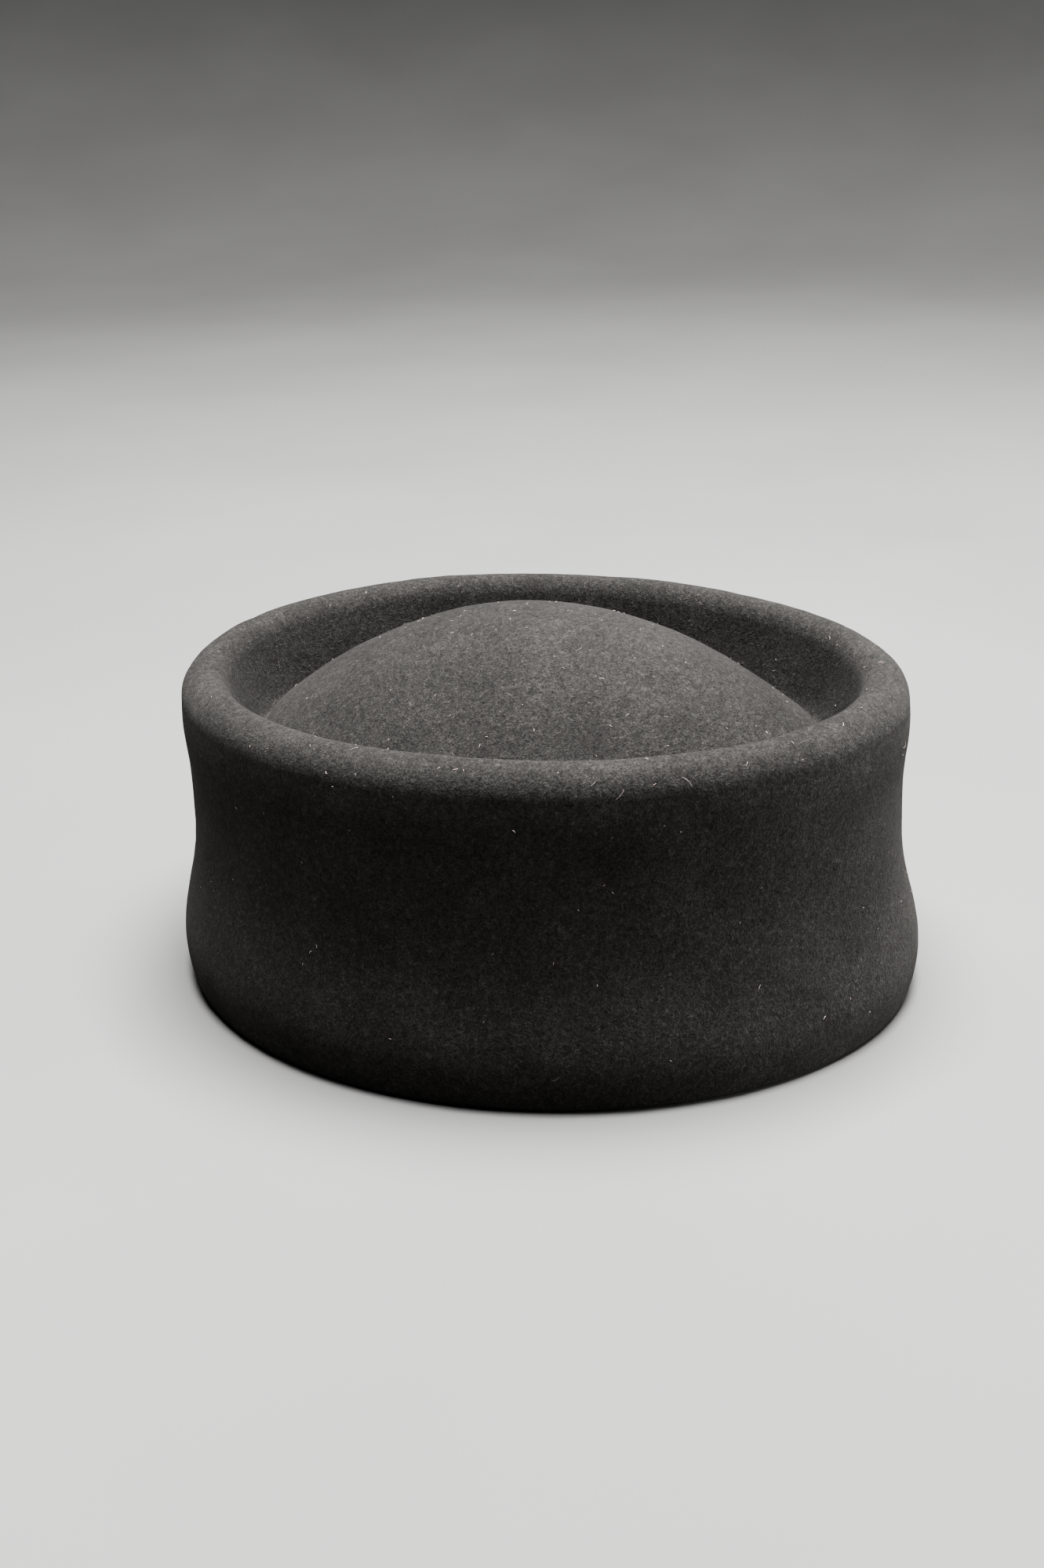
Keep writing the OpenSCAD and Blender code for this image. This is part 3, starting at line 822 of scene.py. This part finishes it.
def stitch_piece(name, paths, radius, node):
    """Stitches of twisted thread: each path is followed by two plies."""
    steps = paths.shape[1]
    spin = np.linspace(0, TAU * 1.5, steps)
    ahead = unit(np.gradient(paths, axis=1))
    a = unit(np.cross(ahead, np.array([0.2, 0.1, 1.0])))
    b = np.cross(ahead, a)
    off = radius * 0.48 * (a * np.cos(spin)[None, :, None] + b * np.sin(spin)[None, :, None])
    plies = np.concatenate([paths + off, paths - off])
    points, faces = tubes(plies, np.full(len(plies), radius * 0.56), 6)
    return make_piece(name, points, faces, THREAD, HAT, [node])


def arc_between(a, b, out, steps):
    """Curves from a to b that swell by out in their middle."""
    t = np.linspace(0, 1, steps)[None, :, None]
    return a[:, None] * (1 - t) + b[:, None] * t + out[:, None] * np.sin(t * math.pi)


def band_stitches():
    """Whip stitches over the sweatband's lower edge, all leaning one way."""
    count = 90
    q = TAU * (np.arange(count) + 0.5) / count
    p, along, out = wall_frame(q, HEM_IN - CLEAR - BAND_T, BAND_Z)
    rng = np.random.default_rng(21)
    jitter = rng.normal(0, 0.12, (2, count, 1))
    a = p + along * (0.8 + jitter[0]) + out * 0.15 + UP * 1.8
    b = p - along * (0.8 + jitter[1]) + out * (BAND_T + CLEAR + 0.9) - UP * 0.7
    paths = arc_between(a, b, -out * 0.55 - UP * 0.25, 12)
    return stitch_piece("sweatband_whip_stitches", paths, 0.24, "sweatband_stitches")


def label_stitches():
    """Stitches along the short ends of the maker's label and the ends of the size label."""
    ends, tops, swell = [], [], []
    for side in (-1, 1):
        for k in range(6):
            x, y = side * (MAKER_W / 2 - 1.5), (MAKER_L - 4) * (k / 5 - 0.5)
            z = float(tip_z(math.hypot(x / TIP_W, y / TIP_L))) - TIP_HANG - CLEAR - LABEL_T + 0.1
            ends.append([x - 0.9, y, z])
            tops.append([x + 0.9, y, z])
            swell.append([0, 0, -0.42])
    for q in (SIZE_FROM + 0.7, SIZE_TO - 0.7):
        for k in range(4):
            z = SIZE_Z + 1.5 + (SIZE_H - 3) * k / 3
            p, along, out = wall_frame(math.radians(q), float(band_d(z)) - BAND_T, z)
            face = p - out * (CLEAR / 2 + LABEL_T - 0.1)
            ends.append(face - [0, 0, 0.8])
            tops.append(face + [0, 0, 0.8])
            swell.append(-out * 0.4)
    paths = arc_between(np.array(ends), np.array(tops), np.array(swell), 10)
    return stitch_piece("label_end_stitches", paths, 0.17, "label_stitches")


def bow_tacks():
    """Two short stitches across the bow's knot."""
    front = BOW_Y - 1.45
    ends, tops, swell = [], [], []
    for z in (BOW_Z - 1.2, BOW_Z + 1.2):
        ends.append([-0.9, front, z - 0.3])
        tops.append([0.9, front, z + 0.3])
        swell.append([0, -0.28, 0])
    paths = arc_between(np.array(ends, float), np.array(tops, float), np.array(swell, float), 10)
    return stitch_piece("bow_tack_stitches", paths, 0.17, "bow_tack")


def wire_loops():
    """Loops of thread that hold the wire down on the hem's cut edge."""
    count, reach = 36, 1.35
    wire_z = HEM_H + 1.1
    q = TAU * (np.arange(count) + 0.5) / count
    p, along, out = wall_frame(q, float(wall_d(wire_z)) - FELT_T - 1.4, wire_z)
    turn = np.linspace(0, TAU * 0.97, 22)[None, :, None]
    skew = 0.5 * along[:, None] * (turn / TAU - 0.5)
    paths = p[:, None] + reach * (out[:, None] * np.cos(turn) + UP * np.sin(turn)) + skew
    return stitch_piece("wire_loop_stitches", paths, 0.2, "wire_stitches")


band_stitches()
label_stitches()
bow_tacks()
wire_loops()
for node, material in (
    ("headline_wire", STEEL),
    ("wire_joiner", STEEL),
    ("seam_stitches", THREAD),
    ("lining_tacks", THREAD),
):
    cad = next(o for o in bpy.context.scene.objects if o.get("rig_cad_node") == node)
    cad.data.materials.clear()
    cad.data.materials.append(material)

# ---- floor, light and camera ----


def floor():
    """A plain sheet of paper that lies flat under the hat and curves up far from it."""
    n = Nodes("pale_floor", Specular_IOR_Level=0.1)
    tone = n.noise(5, 3)
    colour = n.ramp(tone, (0.3, (0.195, 0.193, 0.19)), (0.7, (0.21, 0.208, 0.205)))
    n.finish(colour, n.ramp(tone, (0.3, 0.9), (0.7, 0.95)))
    cols = 96
    q = TAU * np.arange(cols) / cols
    r = np.linspace(0, 3.4, 48)[1:, None]
    z = 1.3 * smooth(r, 1.4, 4.4)
    points = np.stack(np.broadcast_arrays(r * np.cos(q), r * np.sin(q), z), -1)
    points = np.concatenate([points.reshape(-1, 3), [[0, 0, 0]]])
    j = np.arange(cols)
    middle = np.stack([j, (j + 1) % cols, np.full(cols, len(points) - 1)], -1)
    rings = grid_faces(len(r), cols, False, True)
    mesh = bpy.data.meshes.new("floor")
    mesh.from_pydata(points.tolist(), [], rings.tolist() + middle.tolist())
    mesh.shade_smooth()
    o = bpy.data.objects.new("floor", mesh)
    bpy.context.scene.collection.objects.link(o)
    o.data.materials.append(n.material)


def area_light(name, place, size, power):
    data = bpy.data.lights.new(name, "AREA")
    data.shape = "RECTANGLE"
    data.size, data.size_y = size
    data.energy = power
    o = bpy.data.objects.new(name, data)
    bpy.context.scene.collection.objects.link(o)
    o.location = place
    o.rotation_euler = (Vector((0, 0, 0.05)) - Vector(place)).to_track_quat("-Z", "Y").to_euler()


def camera():
    """Seen from the hat's right and a little ahead, about half a metre away and above the rim."""
    az, el, roll = math.radians(-70.4), math.radians(22.9), 0.031
    aim, distance, to_left, to_top = Vector((0, 0, 0.0434)), 0.4988, 0.0056, 0.0060
    ahead = Vector((-math.sin(az) * math.cos(el), math.cos(az) * math.cos(el), -math.sin(el)))
    right = ahead.cross(Vector((0, 0, 1))).normalized()
    up = right.cross(ahead)
    place = aim - ahead * distance - right * to_left + up * to_top
    tilted_right = right * math.cos(roll) - up * math.sin(roll)
    tilted_up = right * math.sin(roll) + up * math.cos(roll)
    turn = Matrix((tilted_right, tilted_up, -ahead)).transposed().to_4x4()
    data = bpy.data.cameras.new("camera")
    data.lens, data.sensor_width = 41.4, 36
    o = bpy.data.objects.new("camera", data)
    o.matrix_world = Matrix.Translation(place) @ turn
    bpy.context.scene.collection.objects.link(o)
    bpy.context.scene.camera = o


floor()
camera()
area_light("overhead", (0.08, -0.06, 1.35), (0.8, 0.8), 88)
area_light("right_side", (0.3, -1.05, 0.13), (0.5, 0.25), 12)
world = bpy.data.worlds.new("studio")
world.use_nodes = True
background = world.node_tree.nodes["Background"]
background.inputs["Color"].default_value = (0.9, 0.92, 0.95, 1)
background.inputs["Strength"].default_value = 0.08
bpy.context.scene.world = world
bpy.context.scene.view_settings.view_transform = "AgX"
bpy.context.scene.view_settings.look = "AgX - High Contrast"
